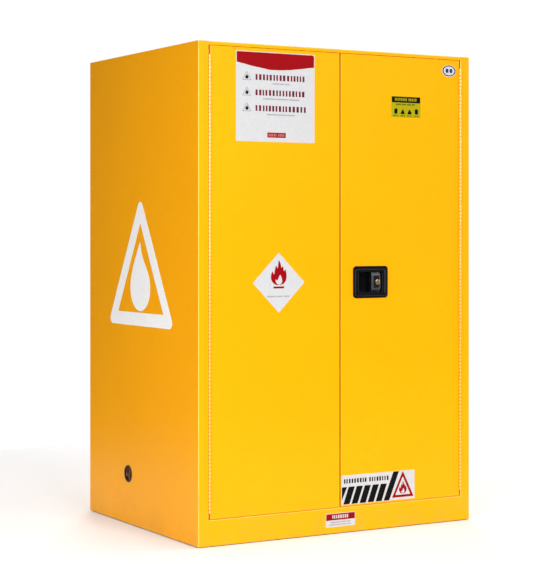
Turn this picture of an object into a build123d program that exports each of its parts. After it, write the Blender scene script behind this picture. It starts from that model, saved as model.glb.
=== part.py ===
from build123d import *
import os

# Double-wall steel cabinet for flammable liquids, in millimetres.
# X runs to the right, Y to the back and Z up; the origin is on the floor under the middle.

# Cabinet
WIDTH = 1090
DEPTH = 860
HEIGHT = 1650
SHEET = 1.2
WALL = 40
BEND = 3
SKIRT_GAP = 3
BASE_LEVEL = 20
SUMP_LEVEL = 46
SILL_TOP = 88
SILL_LIP = 10
TOP_LIP = 12
STOP_LAP = 18
STOP_RETURN = 14
HEADER_STOP = 40
LEFT = -WIDTH / 2
FRONT = -DEPTH / 2
BACK = DEPTH / 2
LINER = -LEFT - WALL
LINER_BACK = BACK - WALL
STOP_FRONT = FRONT + WALL
LINER_FRONT = STOP_FRONT + SHEET
HEADER = HEIGHT - TOP_LIP
LINER_TOP = HEIGHT - WALL
STOP_LOW = SILL_TOP + SILL_LIP
STOP_HIGH = HEADER - HEADER_STOP

# Hinges: continuous piano hinges, with the pin a little proud of the front
PIN_X = 504
PIN_Y = FRONT - 2
PIN_RADIUS = 1.6
PIN_PLAY = 0.05
KNUCKLE_RADIUS = 4
KNUCKLE_PITCH = 12.7
KNUCKLE_GAP = 0.3
KNUCKLES = 118
HINGE_LOW = 109
HINGE_HIGH = HINGE_LOW + KNUCKLES * KNUCKLE_PITCH
LEAF_OUT = 2.6
LEAF_REACH = 32
JAMB = PIN_X + LEAF_OUT
STRIP_END = JAMB + BEND

# Doors
DOOR_THICK = 38
DOOR_GAP = 2
DOOR_LOW = SILL_TOP + 1.5
DOOR_HIGH = HEADER - 1.2
DOOR_HINGE_EDGE = PIN_X - LEAF_OUT
DOOR_BACK = FRONT + DOOR_THICK
PAN_BACK = DOOR_BACK - SHEET
DOOR_BEND = 2.5
PAN_FLANGE = 12

# Paddle lock on the right door
LOCK_X = 122
LOCK_Z = 855
PLATE_WIDE = 142
PLATE_HIGH = 110
PLATE_THICK = 3
PLATE_CORNER = 12
GASKET = 1
PLATE_FRONT = FRONT - GASKET - PLATE_THICK
RECESS_LEFT = LOCK_X - 49
RECESS_RIGHT = LOCK_X + 47
RECESS_HIGH = 70
RECESS_DEPTH = 26
RECESS_CORNER = 4
TUB_WALL = 2
TUB_FLOOR = PLATE_FRONT + RECESS_DEPTH
PADDLE_LEFT = LOCK_X + 3
PADDLE_FRONT = PLATE_FRONT + 1
PADDLE_THICK = 12
PADDLE_HIGH = RECESS_HIGH - 2
PADDLE_NOSE = 10
PADDLE_PIN_X = LOCK_X + 35
PADDLE_PIN_Y = PADDLE_FRONT + PADDLE_NOSE
PADDLE_PIN_RADIUS = 2.5
PIN_STUB = 29
PIN_REACH = 45
FIELD_X = LOCK_X + 28
FIELD_WIDE = 25
FIELD_HIGH = 41
FIELD_DEEP = 3
KEY_X = LOCK_X + 30
KEY_RADIUS = 9
KEY_LENGTH = 18
CAM_THICK = 2.5
CRANK_REACH = 14

# Latch rods inside the right door, and the bolts behind the left one
ROD_RADIUS = 4
ROD_Y = FRONT + 19
ROD_HOLE = ROD_RADIUS + 0.3
ROD_FIT = ROD_RADIUS + 0.05
ROD_SHOWS = 0.8
BOLT_SHOWS = 1.8
BOLT_TAIL = LOCK_X - 66
GUIDE_SIZE = 24
GUIDE_DEEP = 12
STRIKE_RADIUS = 7
FLUSH_BOLT_X = -52
FLUSH_BOLT_WIDE = 16
FLUSH_BOLT_THICK = 6
FLUSH_BOLT_LONG = 167
FLUSH_BOLT_Y = DOOR_BACK + 4

# Shelves
SHELF_HALF = LINER - 10
SHELF_FRONT = STOP_FRONT + 18
SHELF_BACK = LINER_BACK - 12
SHELF_LIP = 30
SHELF_TOPS = {"shelf_lower": 560, "shelf_upper": 1085}
UPRIGHT_Y = (-290, 290)
UPRIGHT_WIDE = 30
UPRIGHT_DEEP = 9
UPRIGHT_SHEET = 1.5
UPRIGHT_LOW = 120
UPRIGHT_HIGH = 1560
SLOT_PITCH = 45
CLIP_WIDE = 28
CLIP_DEEP = 18
CLIP_THICK = 2

# Vents, one low on the left and one high on the right
VENT_Y = FRONT + 532
VENT_LOW = 177
VENT_HIGH = HEIGHT - 177
COLLAR_FLANGE = 30
COLLAR_RADIUS = 26
COLLAR_BORE = 23
BUNG_LENGTH = 14
BUNG_SUNK = 4
GRIP_WIDE = 7
MESH_PITCH = 5
MESH_HOLE = 1.4

# Levelling feet and earthing stud
FOOT_X = 480
FOOT_Y = 365
FOOT_PAD = 24
FOOT_STEM = 6
FOOT_TOP = SUMP_LEVEL - 2
STUD_Y = 340
STUD_Z = 150
STUD_RADIUS = 4
STUD_SHANK = 4.2
STUD_SHOWS = 16
STUD_NUT = 6
STUD_INSIDE = 8

# Stickers: centre X and Z, width and height, on the front
STICKER = 0.4
STICKERS = {
    "label_hazard": (-254.5, 1476, 303, 298),
    "label_rating": (271.5, 1463, 123, 74),
    "label_goods": (156, 146, 302, 100),
    "label_sill": (1, 47, 118, 46),
}
DIAMOND = (-243, 858, 200)
OVAL = (456, 1598, 60, 42)
EMBLEM_Y = FRONT + 435
EMBLEM_Z = 851
EMBLEM_RADIUS = 300
EMBLEM_BAND = 46
FLAME_RADIUS = 78


def block(low, high):
    """Box between two opposite corners."""
    size = Vector(*high) - Vector(*low)
    return Pos(*low) * Box(size.X, size.Y, size.Z, align=(Align.MIN, Align.MIN, Align.MIN))


def bar(start, direction, radius, length):
    """Round bar from a point along a direction."""
    shape = Cylinder(radius, length, align=(Align.CENTER, Align.CENTER, Align.MIN))
    return Plane(origin=start, z_dir=direction) * shape


def hexagon(start, direction, across, length, hole):
    """Hexagon nut with a round hole."""
    face = RegularPolygon(across / 2, 6, major_radius=False) - Circle(hole)
    return Plane(origin=start, z_dir=direction) * extrude(face, length)


def bent(points, side, bend=BEND):
    """Section of a bent sheet. The points follow its outer skin."""
    skin = FilletPolyline(*points, radius=bend)
    return make_face(offset(skin, SHEET, side=side))


def rise(section, low, high):
    """Plan section carried from one height to another."""
    return Pos(0, 0, low) * extrude(section, high - low)


def span(section, half):
    """Side section, drawn as (Y, Z), carried across both sides of the middle."""
    return Pos(-half, 0, 0) * extrude(Plane.YZ * section, 2 * half)


def mirrored(shape):
    """The same shape on the other side of the middle."""
    return mirror(shape, about=Plane.YZ)


def save(name, *shapes):
    """One file for each piece or group of equal pieces."""
    solids = [solid for shape in shapes for solid in shape.solids()]
    export_step(Compound(children=solids), f"parts/{name}.step")


# Outer shell


def outer_side():
    """Side wall bent round the front corner into the front strip and the hinge jamb."""
    corner = [(LEFT, FRONT), (LEFT, BACK)]
    plain = bent([(-STRIP_END, FRONT)] + corner, Side.RIGHT)
    jambed = bent([(-JAMB, STOP_FRONT), (-JAMB, FRONT)] + corner, Side.RIGHT)
    wall = rise(plain, SKIRT_GAP, SILL_TOP)
    wall += rise(jambed, SILL_TOP, HEADER)
    return wall + rise(plain, HEADER, HEIGHT)


def outer_top():
    """Roof sheet, with a lip bent down over the doors."""
    roof = block((LEFT + SHEET, FRONT + SHEET, HEIGHT - SHEET), (-LEFT - SHEET, BACK, HEIGHT))
    roof = fillet(roof.edges().filter_by(Axis.Z).group_by(Axis.Y)[0], BEND - SHEET)
    lip = bent([(FRONT, HEADER), (FRONT, HEIGHT), (FRONT + WALL, HEIGHT)], Side.RIGHT)
    cut = block((-STRIP_END, FRONT, HEIGHT - SHEET), (STRIP_END, FRONT + WALL, HEIGHT))
    return roof - cut + span(lip, STRIP_END)


def base_pan():
    """Underside sheet that carries the feet."""
    inside = -LEFT - SHEET
    pan = block((-inside, FRONT + SHEET, BASE_LEVEL), (inside, BACK - SHEET, BASE_LEVEL + SHEET))
    pan = fillet(pan.edges().filter_by(Axis.Z).group_by(Axis.Y)[0], BEND - SHEET)
    for x in (-FOOT_X, FOOT_X):
        for y in (-FOOT_Y, FOOT_Y):
            pan -= bar((x, y, 0), (0, 0, 1), FOOT_STEM + 0.5, WALL)
    return pan


def front_header():
    """Ledge over the doors and the stop behind their top edge."""
    ledge = [(FRONT + SHEET, HEADER), (STOP_FRONT, HEADER), (STOP_FRONT, STOP_HIGH)]
    header = span(bent(ledge, Side.LEFT), JAMB)
    return header - bar((LOCK_X, ROD_Y, HEADER - WALL / 4), (0, 0, 1), STRIKE_RADIUS, WALL / 2)


def front_sill():
    """Front strip under the doors, its ledge and the riser behind their bottom edge."""
    skin = [(FRONT, SKIRT_GAP), (FRONT, SILL_TOP), (STOP_FRONT, SILL_TOP), (STOP_FRONT, STOP_LOW)]
    sill = span(bent(skin, Side.RIGHT), JAMB)
    for x in (-STRIP_END, JAMB):
        sill += block((x, FRONT, SKIRT_GAP), (x + BEND, FRONT + SHEET, SILL_TOP))
    return sill - bar((LOCK_X, ROD_Y, SILL_TOP - WALL / 4), (0, 0, 1), STRIKE_RADIUS, WALL / 2)


def door_stop():
    """Angle behind the hinge edge of the left door."""
    edge = STOP_LAP - JAMB
    skin = [(-JAMB - SHEET, STOP_FRONT), (edge, STOP_FRONT), (edge, STOP_FRONT + STOP_RETURN)]
    return rise(bent(skin, Side.LEFT), STOP_LOW, STOP_HIGH)


def strikes():
    """Steel rings behind the holes that the latch rods enter."""
    ring = Circle(STRIKE_RADIUS + 8) - Circle(STRIKE_RADIUS)
    lower = Pos(LOCK_X, ROD_Y, SILL_TOP - SHEET - 3) * extrude(ring, 3)
    upper = Pos(LOCK_X, ROD_Y, HEADER + SHEET) * extrude(ring, 3)
    return lower, upper


# Liner


def liner_side():
    """Inner skin of the left wall."""
    return block((-LINER - SHEET, LINER_FRONT, SUMP_LEVEL), (-LINER, LINER_BACK, LINER_TOP - SHEET))


def sump_floor():
    """Leakproof floor with its front edge turned up behind the sill."""
    skin = [(LINER_FRONT, SILL_TOP - SHEET), (LINER_FRONT, SUMP_LEVEL), (LINER_BACK, SUMP_LEVEL)]
    return span(bent(skin, Side.LEFT), LINER)


# Hinges


def hinge_leaf(first, inner):
    """Leaf of the left hinge, with every second knuckle from the first."""
    plate_x = -PIN_X - LEAF_OUT if inner else -PIN_X + LEAF_OUT - SHEET
    plate_y = PIN_Y + KNUCKLE_RADIUS + 0.5
    plate = block((plate_x, plate_y, HINGE_LOW), (plate_x + SHEET, PIN_Y + LEAF_REACH, HINGE_HIGH))
    tab = Rectangle(SHEET, plate_y - PIN_Y, align=(Align.CENTER, Align.MIN))
    tab = Pos(plate_x + SHEET / 2, PIN_Y) * tab
    ring = Pos(-PIN_X, PIN_Y) * Circle(KNUCKLE_RADIUS) + tab
    ring -= Pos(-PIN_X, PIN_Y) * Circle(PIN_RADIUS + PIN_PLAY)
    knuckle = extrude(ring, KNUCKLE_PITCH - KNUCKLE_GAP)
    levels = [HINGE_LOW + i * KNUCKLE_PITCH for i in range(first, KNUCKLES, 2)]
    return plate + [Pos(0, 0, z) * knuckle for z in levels]


def hinge_pin():
    """Pin of the left hinge, through all its knuckles."""
    return bar((-PIN_X, PIN_Y, HINGE_LOW), (0, 0, 1), PIN_RADIUS, HINGE_HIGH - HINGE_LOW)


# Doors


def door_outer():
    """Left door's outer pan, its four edges bent back."""
    low = Vector(-DOOR_HINGE_EDGE, FRONT, DOOR_LOW)
    high = Vector(-DOOR_GAP, PAN_BACK, DOOR_HIGH)
    skin = block(low, high)
    skin = fillet(skin.faces().sort_by(Axis.Y)[0].edges(), DOOR_BEND)
    hollow = block(low + Vector(SHEET, SHEET, SHEET), high + Vector(-SHEET, SHEET, -SHEET))
    hollow = fillet(hollow.faces().sort_by(Axis.Y)[0].edges(), DOOR_BEND - SHEET)
    return skin - hollow


def door_inner():
    """Left door's inner pan, its short flange inside the outer one."""
    edge = 2 * SHEET
    plate = block((-DOOR_HINGE_EDGE, PAN_BACK, DOOR_LOW), (-DOOR_GAP, DOOR_BACK, DOOR_HIGH))
    low = Vector(edge - DOOR_HINGE_EDGE, PAN_BACK - PAN_FLANGE, DOOR_LOW + edge)
    high = Vector(-DOOR_GAP - edge, PAN_BACK, DOOR_HIGH - edge)
    inset = Vector(SHEET, 0, SHEET)
    return plate + (block(low, high) - block(low + inset, high - inset))


def right_door_outer():
    """Right door's outer pan, with the cut-outs for the lock and its rods."""
    pan = mirrored(door_outer())
    half = RECESS_HIGH / 2 + TUB_WALL + 0.5
    edge = TUB_WALL + 0.5
    low = (RECESS_LEFT - edge, FRONT, LOCK_Z - half)
    pan -= block(low, (RECESS_RIGHT + edge, FRONT + SHEET, LOCK_Z + half))
    pan -= bar((LOCK_X, ROD_Y, 0), (0, 0, 1), ROD_HOLE, HEIGHT)
    pan -= bar((0, ROD_Y, LOCK_Z), (1, 0, 0), ROD_HOLE, 4 * DOOR_GAP)
    return pan - screw_shanks(0.1)


# Paddle lock


def lock_plate_outline(shrink=0):
    """Rounded outline of the lock plate, drawn as (X, Z)."""
    return Pos(LOCK_X, LOCK_Z) * RectangleRounded(PLATE_WIDE - shrink, PLATE_HIGH - shrink, PLATE_CORNER)


def recess_outline(grow=0):
    """Rounded outline of the hand recess, drawn as (X, Z)."""
    wide = RECESS_RIGHT - RECESS_LEFT
    middle = (RECESS_LEFT + RECESS_RIGHT) / 2
    return Pos(middle, LOCK_Z) * RectangleRounded(wide + grow, RECESS_HIGH + grow, RECESS_CORNER)


def deepen(outline, start, depth):
    """Outline drawn as (X, Z), carried back from a Y position."""
    return extrude(Plane(origin=(0, start, 0), x_dir=(1, 0, 0), z_dir=(0, -1, 0)) * outline, -depth)


def screw_places():
    """Centres of the lock plate's four screws."""
    reach_x = PLATE_WIDE / 2 - 10
    reach_z = PLATE_HIGH / 2 - 10
    return [(LOCK_X + i * reach_x, LOCK_Z + j * reach_z) for i in (-1, 1) for j in (-1, 1)]


def screw_shanks(play=0.0):
    """Shanks of the lock plate's screws, or their holes."""
    shanks = [bar((x, FRONT - GASKET - 2, z), (0, 1, 0), 2.5 + play, 5) for x, z in screw_places()]
    return Part() + shanks


def housing_screws():
    """Screws from inside the door into the lock plate."""
    heads = [bar((x, FRONT + SHEET, z), (0, 1, 0), 4.5, 3) for x, z in screw_places()]
    return screw_shanks() + heads


def paddle_housing():
    """Lock plate and the tub of its hand recess."""
    plate = deepen(lock_plate_outline(), PLATE_FRONT, PLATE_THICK)
    plate = fillet(plate.faces().sort_by(Axis.Y)[0].edges(), 1.5)
    tub = deepen(recess_outline(2 * TUB_WALL), PLATE_FRONT + 2, RECESS_DEPTH - 2 + TUB_WALL)
    recess = deepen(recess_outline(), PLATE_FRONT, RECESS_DEPTH)
    return plate + tub - recess - paddle_pins(PIN_PLAY) - screw_shanks(PIN_PLAY)


def housing_gasket():
    """Rubber sheet between the lock plate and the door."""
    ring = lock_plate_outline(2) - recess_outline(2 * TUB_WALL + 1)
    return deepen(ring, FRONT - GASKET, GASKET) - screw_shanks(0.1)


def paddle():
    """Pull lever, rounded about its pin, with a sunk field for the key cylinder."""
    size = (PADDLE_PIN_X - PADDLE_LEFT, PADDLE_THICK)
    arm = Pos(PADDLE_LEFT, PADDLE_FRONT) * Rectangle(*size, align=(Align.MIN, Align.MIN))
    nose = Pos(PADDLE_PIN_X, PADDLE_PIN_Y) * Circle(PADDLE_NOSE)
    back = Pos(PADDLE_PIN_X, PADDLE_PIN_Y + PADDLE_NOSE / 2)
    section = arm + nose - back * Rectangle(WALL, WALL, align=(Align.CENTER, Align.MIN))
    lever = rise(section, LOCK_Z - PADDLE_HIGH / 2, LOCK_Z + PADDLE_HIGH / 2)
    lever = fillet(lever.edges().filter_by(Axis.Z).group_by(Axis.X)[0].sort_by(Axis.Y)[0], 1.5)
    field = Pos(FIELD_X, LOCK_Z) * RectangleRounded(FIELD_WIDE, FIELD_HIGH, 2)
    lever -= deepen(field, PLATE_FRONT, FIELD_DEEP + 1)
    lever -= bar((KEY_X, PLATE_FRONT, LOCK_Z), (0, 1, 0), KEY_RADIUS + PIN_PLAY, RECESS_DEPTH)
    return lever - paddle_pins()


def paddle_pins(play=0.0):
    """Stub pins at the top and bottom of the paddle, or their holes."""
    radius = PADDLE_PIN_RADIUS + play
    upper = bar((PADDLE_PIN_X, PADDLE_PIN_Y, LOCK_Z + PIN_REACH), (0, 0, -1), radius, PIN_STUB)
    lower = bar((PADDLE_PIN_X, PADDLE_PIN_Y, LOCK_Z - PIN_REACH), (0, 0, 1), radius, PIN_STUB)
    return Part() + [upper, lower]


def crank_arms():
    """Crank at each end of the pin, outside the recess."""
    face = SlotCenterToCenter(CRANK_REACH, 10, rotation=90)
    face -= Pos(0, -CRANK_REACH / 2) * Circle(PADDLE_PIN_RADIUS)
    face = Pos(PADDLE_PIN_X, PADDLE_PIN_Y + CRANK_REACH / 2) * face
    face -= Pos(PADDLE_PIN_X, PADDLE_PIN_Y + CRANK_REACH) * Circle(2)
    clear = RECESS_HIGH / 2 + TUB_WALL + 3
    return rise(face, LOCK_Z + clear, LOCK_Z + clear + 3), rise(face, LOCK_Z - clear - 3, LOCK_Z - clear)


def key_cylinder():
    """Key cylinder with its keyway."""
    start = PADDLE_FRONT + 1
    body = bar((KEY_X, start, LOCK_Z), (0, 1, 0), KEY_RADIUS, KEY_LENGTH)
    body = fillet(body.edges().sort_by(Axis.Y)[0], 0.8)
    return body - block((KEY_X - 0.8, start, LOCK_Z - 4), (KEY_X + 0.8, start + 8, LOCK_Z + 4))


def lock_cam():
    """Cam on the back of the key cylinder."""
    face = Pos(KEY_X, LOCK_Z + 5) * SlotCenterToCenter(14, 9, rotation=90)
    return deepen(face, PADDLE_FRONT + 1 + KEY_LENGTH, CAM_THICK)


def rod_guides():
    """Blocks inside the right door that carry the rods and the bolt."""
    low = FRONT + SHEET
    high = ROD_Y + 2 * ROD_RADIUS
    half = GUIDE_SIZE / 2
    blocks = []
    for z in (DOOR_LOW + 50, LOCK_Z - 155, LOCK_Z + 145, DOOR_HIGH - 60):
        shape = block((LOCK_X - half, low, z), (LOCK_X + half, high, z + GUIDE_DEEP))
        blocks.append(shape - bar((LOCK_X, ROD_Y, z), (0, 0, 1), ROD_FIT, GUIDE_DEEP))
    x = 24
    shape = block((x, low, LOCK_Z - half), (x + GUIDE_DEEP, high, LOCK_Z + half))
    blocks.append(shape - bar((x, ROD_Y, LOCK_Z), (1, 0, 0), ROD_FIT, GUIDE_DEEP))
    return blocks


def latch_rod(low, high):
    """Upright latch rod between two heights."""
    return bar((LOCK_X, ROD_Y, low), (0, 0, 1), ROD_RADIUS, high - low)


def centre_bolt():
    """Bolt that points from the right door to the left one."""
    tip = DOOR_GAP - BOLT_SHOWS
    return bar((tip, ROD_Y, LOCK_Z), (1, 0, 0), ROD_RADIUS, BOLT_TAIL - tip)


def flush_bolt(tip, direction):
    """Flat bolt behind the left door, with its thumb knob."""
    half = FLUSH_BOLT_WIDE / 2
    tail = tip - direction * FLUSH_BOLT_LONG
    low = (FLUSH_BOLT_X - half, FLUSH_BOLT_Y, min(tip, tail))
    strip = block(low, (FLUSH_BOLT_X + half, FLUSH_BOLT_Y + FLUSH_BOLT_THICK, max(tip, tail)))
    knob_z = tip - direction * FLUSH_BOLT_LONG * 0.55
    return strip + bar((FLUSH_BOLT_X, FLUSH_BOLT_Y + FLUSH_BOLT_THICK, knob_z), (0, 1, 0), 5, 10)


def flush_bolt_guides():
    """Staples that hold both flush bolts on the left door."""
    half = FLUSH_BOLT_WIDE / 2
    play = 0.2
    staples = []
    for tip, direction in ((STOP_HIGH - 1, 1), (STOP_LOW + 1, -1)):
        for share in (0.25, 0.85):
            z = tip - direction * FLUSH_BOLT_LONG * share
            edge = half + 8
            low = (FLUSH_BOLT_X - edge, DOOR_BACK, z - 6)
            shape = block(low, (FLUSH_BOLT_X + edge, FLUSH_BOLT_Y + 9, z + 6))
            slot = block(
                (FLUSH_BOLT_X - half - play, FLUSH_BOLT_Y - play, z - 6),
                (FLUSH_BOLT_X + half + play, FLUSH_BOLT_Y + FLUSH_BOLT_THICK + play, z + 6),
            )
            staples.append(shape - slot)
    return staples


# Inside fittings


def shelf(top):
    """Shelf with all four edges turned down."""
    low = (-SHELF_HALF, SHELF_FRONT, top - SHELF_LIP)
    tray = block(low, (SHELF_HALF, SHELF_BACK, top))
    tray = fillet(tray.faces().sort_by(Axis.Z)[-1].edges(), BEND)
    inset = Vector(SHEET, SHEET, 0)
    hollow = block(Vector(*low) + inset, Vector(SHELF_HALF, SHELF_BACK, top - SHEET) - inset)
    return tray - fillet(hollow.faces().sort_by(Axis.Z)[-1].edges(), BEND - SHEET)


def uprights():
    """Slotted channels on the left and right liner walls."""
    channels = []
    half = UPRIGHT_WIDE / 2
    slot_levels = range(UPRIGHT_LOW + SLOT_PITCH, UPRIGHT_HIGH - SLOT_PITCH + 1, SLOT_PITCH)
    for y in UPRIGHT_Y:
        shape = block((-LINER, y - half, UPRIGHT_LOW), (UPRIGHT_DEEP - LINER, y + half, UPRIGHT_HIGH))
        low = (-LINER, y - half + UPRIGHT_SHEET, UPRIGHT_LOW)
        high = (UPRIGHT_DEEP - UPRIGHT_SHEET - LINER, y + half - UPRIGHT_SHEET, UPRIGHT_HIGH)
        shape -= block(low, high)
        slot = block((-LINER, y - 8, -3), (UPRIGHT_DEEP - LINER, y + 8, 3))
        shape -= [Pos(0, 0, z) * slot for z in slot_levels]
        channels += [shape, mirrored(shape)]
    return channels


def shelf_clips():
    """Angles on the uprights that carry the shelves."""
    clips = []
    low_x = UPRIGHT_DEEP - LINER
    half = CLIP_WIDE / 2
    for top in SHELF_TOPS.values():
        rest = top - SHELF_LIP
        for y in UPRIGHT_Y:
            clip = block((low_x, y - half, rest - CLIP_THICK), (low_x + CLIP_DEEP, y + half, rest))
            clip += block((low_x, y - half, rest - 24), (low_x + CLIP_THICK / 2, y + half, rest))
            clips += [clip, mirrored(clip)]
    return clips


def vent_collar():
    """Flanged tube through the left wall."""
    tube = bar((LEFT - 2, VENT_Y, VENT_LOW), (1, 0, 0), COLLAR_RADIUS, WALL + 2)
    rim = bar((LEFT - 2, VENT_Y, VENT_LOW), (1, 0, 0), COLLAR_FLANGE, 2)
    rim = fillet(rim.edges().sort_by(Axis.X)[0], 1)
    return tube + rim - bar((LEFT - 2, VENT_Y, VENT_LOW), (1, 0, 0), COLLAR_BORE, WALL + 2)


def vent_hole():
    """Hole for the collar through both skins of the left wall."""
    return bar((LEFT - 1, VENT_Y, VENT_LOW), (1, 0, 0), COLLAR_RADIUS + PIN_PLAY, WALL + 2)


def vent_bung():
    """Screw-in bung, sunk in the collar, with a bar across its cup."""
    start = LEFT - 2 + BUNG_SUNK
    plug = bar((start, VENT_Y, VENT_LOW), (1, 0, 0), COLLAR_BORE - PIN_PLAY, BUNG_LENGTH)
    cup = bar((start, VENT_Y, VENT_LOW), (1, 0, 0), COLLAR_BORE - 5, BUNG_LENGTH - 5)
    low = (start, VENT_Y - GRIP_WIDE / 2, VENT_LOW - COLLAR_BORE)
    grip = block(low, (start + BUNG_LENGTH, VENT_Y + GRIP_WIDE / 2, VENT_LOW + COLLAR_BORE))
    return plug - (cup - grip)


def flame_arrester():
    """Perforated steel disc inside the collar."""
    start = LEFT + 26
    disc = bar((start, VENT_Y, VENT_LOW), (1, 0, 0), COLLAR_BORE, 1.5)
    count = 3
    steps = range(-count, count + 1)
    places = [(i, j) for i in steps for j in steps if i * i + j * j <= count * count]
    for i, j in places:
        disc -= bar((start, VENT_Y + i * MESH_PITCH, VENT_LOW + j * MESH_PITCH), (1, 0, 0), MESH_HOLE, 1.5)
    return disc


def on_right(shape):
    """Left vent piece moved to the high place on the right wall."""
    return Pos(0, 0, VENT_HIGH - VENT_LOW) * mirrored(shape)


def foot(x, y):
    """Levelling foot: pad, hexagon and threaded stem."""
    pad = bar((x, y, 0), (0, 0, 1), FOOT_PAD, 6)
    pad = chamfer(pad.edges().sort_by(Axis.Z)[-1], 1.5)
    collar = extrude(Pos(x, y) * RegularPolygon(9, 6, major_radius=False), 11)
    return pad + collar + bar((x, y, 0), (0, 0, 1), FOOT_STEM, FOOT_TOP)


def foot_nuts():
    """Nuts on the base that the feet screw into."""
    level = BASE_LEVEL + SHEET
    places = [(x, y) for x in (-FOOT_X, FOOT_X) for y in (-FOOT_Y, FOOT_Y)]
    return [hexagon((x, y, level), (0, 0, 1), 19, 10, FOOT_STEM + PIN_PLAY) for x, y in places]


def ground_stud():
    """Earthing stud through the right wall: a shank for the nuts and a free end for a lead."""
    shank = bar((-LEFT - STUD_INSIDE, STUD_Y, STUD_Z), (1, 0, 0), STUD_SHANK, STUD_INSIDE + STUD_NUT + 0.5)
    return shank + bar((-LEFT, STUD_Y, STUD_Z), (1, 0, 0), STUD_RADIUS, STUD_SHOWS)


def ground_nuts():
    """Nut on each side of the right wall's outer skin, on the earthing stud."""
    hole = STUD_SHANK + PIN_PLAY
    inside = hexagon((-LEFT - SHEET, STUD_Y, STUD_Z), (-1, 0, 0), 13, STUD_NUT, hole)
    return inside, hexagon((-LEFT, STUD_Y, STUD_Z), (1, 0, 0), 13, STUD_NUT, hole)


def stud_hole():
    """Hole for the earthing stud through the right wall's outer skin."""
    return bar((-LEFT - STUD_INSIDE, STUD_Y, STUD_Z), (1, 0, 0), STUD_SHANK + PIN_PLAY, STUD_SHOWS)


# Stickers


def front_sticker(outline):
    """Thin sheet on the front, drawn as (X, Z)."""
    return deepen(outline, FRONT - STICKER, STICKER)


def emblem():
    """Plain triangle band round a flame, on the left wall."""
    triangle = RegularPolygon(EMBLEM_RADIUS, 3, rotation=90)
    triangle = fillet(triangle.vertices(), 20)
    band = triangle - offset(triangle, -EMBLEM_BAND)
    tip = (0, 2.1 * FLAME_RADIUS)
    right = (FLAME_RADIUS, 0)
    left = (-FLAME_RADIUS, 0)
    right_side = Spline(tip, (0.55 * FLAME_RADIUS, FLAME_RADIUS), right, tangents=[(0.1, -1), (0, -1)])
    left_side = Spline(left, (-0.8 * FLAME_RADIUS, 0.8 * FLAME_RADIUS), tip, tangents=[(0, 1), (0.7, 1)])
    flame = make_face([right_side, ThreePointArc(right, (0, -FLAME_RADIUS), left), left_side])
    face = band + Pos(0, -20) * flame
    wall = Plane(origin=(LEFT - STICKER, EMBLEM_Y, EMBLEM_Z), x_dir=(0, -1, 0), z_dir=(-1, 0, 0))
    return extrude(wall * face, -STICKER)


def main():
    os.makedirs("parts", exist_ok=True)

    side = outer_side()
    save("outer_side_left", side - vent_hole())
    save("outer_side_right", mirrored(side) - on_right(vent_hole()) - stud_hole())
    low = (LEFT + SHEET, BACK - SHEET, SKIRT_GAP)
    save("outer_back", block(low, (-LEFT - SHEET, BACK, HEIGHT - SHEET)))
    save("outer_top", outer_top())
    save("base_pan", base_pan())
    save("front_header", front_header())
    save("front_sill", front_sill())
    stop = door_stop()
    save("door_stops", stop, mirrored(stop))
    save("strike_plates", *strikes())

    liner = liner_side()
    save("liner_left", liner - vent_hole())
    save("liner_right", mirrored(liner) - on_right(vent_hole()))
    edge = LINER + SHEET
    save("liner_back", block((-edge, LINER_BACK, SUMP_LEVEL), (edge, LINER_BACK + SHEET, LINER_TOP)))
    save("liner_top", block((-edge, LINER_FRONT, LINER_TOP - SHEET), (edge, LINER_BACK, LINER_TOP)))
    save("sump_floor", sump_floor())

    frame_leaf = hinge_leaf(0, True)
    door_leaf = hinge_leaf(1, False)
    save("hinge_frame_leaf_left", frame_leaf)
    save("hinge_frame_leaf_right", mirrored(frame_leaf))
    save("hinge_door_leaf_left", door_leaf)
    save("hinge_door_leaf_right", mirrored(door_leaf))
    save("hinge_pins", hinge_pin(), mirrored(hinge_pin()))

    save("left_door_outer", door_outer())
    save("left_door_inner", door_inner())
    save("left_bolt_guides", *flush_bolt_guides())
    save("left_bolt_top", flush_bolt(STOP_HIGH - 1, 1))
    save("left_bolt_bottom", flush_bolt(STOP_LOW + 1, -1))
    save("right_door_outer", right_door_outer())
    save("right_door_inner", mirrored(door_inner()))

    save("paddle_housing", paddle_housing())
    save("housing_gasket", housing_gasket())
    save("housing_screws", housing_screws())
    save("paddle", paddle())
    save("paddle_pins", paddle_pins())
    save("crank_arms", *crank_arms())
    save("key_cylinder", key_cylinder())
    save("lock_cam", lock_cam())
    save("rod_guides", *rod_guides())
    save("rod_top", latch_rod(LOCK_Z + 49, DOOR_HIGH + ROD_SHOWS))
    save("rod_bottom", latch_rod(DOOR_LOW - ROD_SHOWS, LOCK_Z - 49))
    save("centre_bolt", centre_bolt())

    for name, top in SHELF_TOPS.items():
        save(name, shelf(top))
    save("shelf_uprights", *uprights())
    save("shelf_clips", *shelf_clips())

    save("vent_collars", vent_collar(), on_right(vent_collar()))
    save("flame_arresters", flame_arrester(), on_right(flame_arrester()))
    save("vent_bung_left", vent_bung())
    save("vent_bung_right", on_right(vent_bung()))
    save("ground_stud", ground_stud())
    save("ground_nuts", *ground_nuts())
    save("foot_nuts", *foot_nuts())
    for end, y in (("front", -FOOT_Y), ("rear", FOOT_Y)):
        for hand, x in (("left", -FOOT_X), ("right", FOOT_X)):
            save(f"foot_{end}_{hand}", foot(x, y))

    for name, (x, z, wide, high) in STICKERS.items():
        save(name, front_sticker(Pos(x, z) * Rectangle(wide, high)))
    x, z, across = DIAMOND
    edge = across / 2**0.5
    save("label_diamond", front_sticker(Pos(x, z) * Rectangle(edge, edge, rotation=45)))
    x, z, wide, high = OVAL
    save("label_oval", front_sticker(Pos(x, z) * Ellipse(wide / 2, high / 2)))
    save("side_emblem", emblem())


main()
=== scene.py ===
"""Looks of a flammable storage cabinet: paint, stickers, lock, vents, hinges, shelves, studio."""

import math
import random

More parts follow.
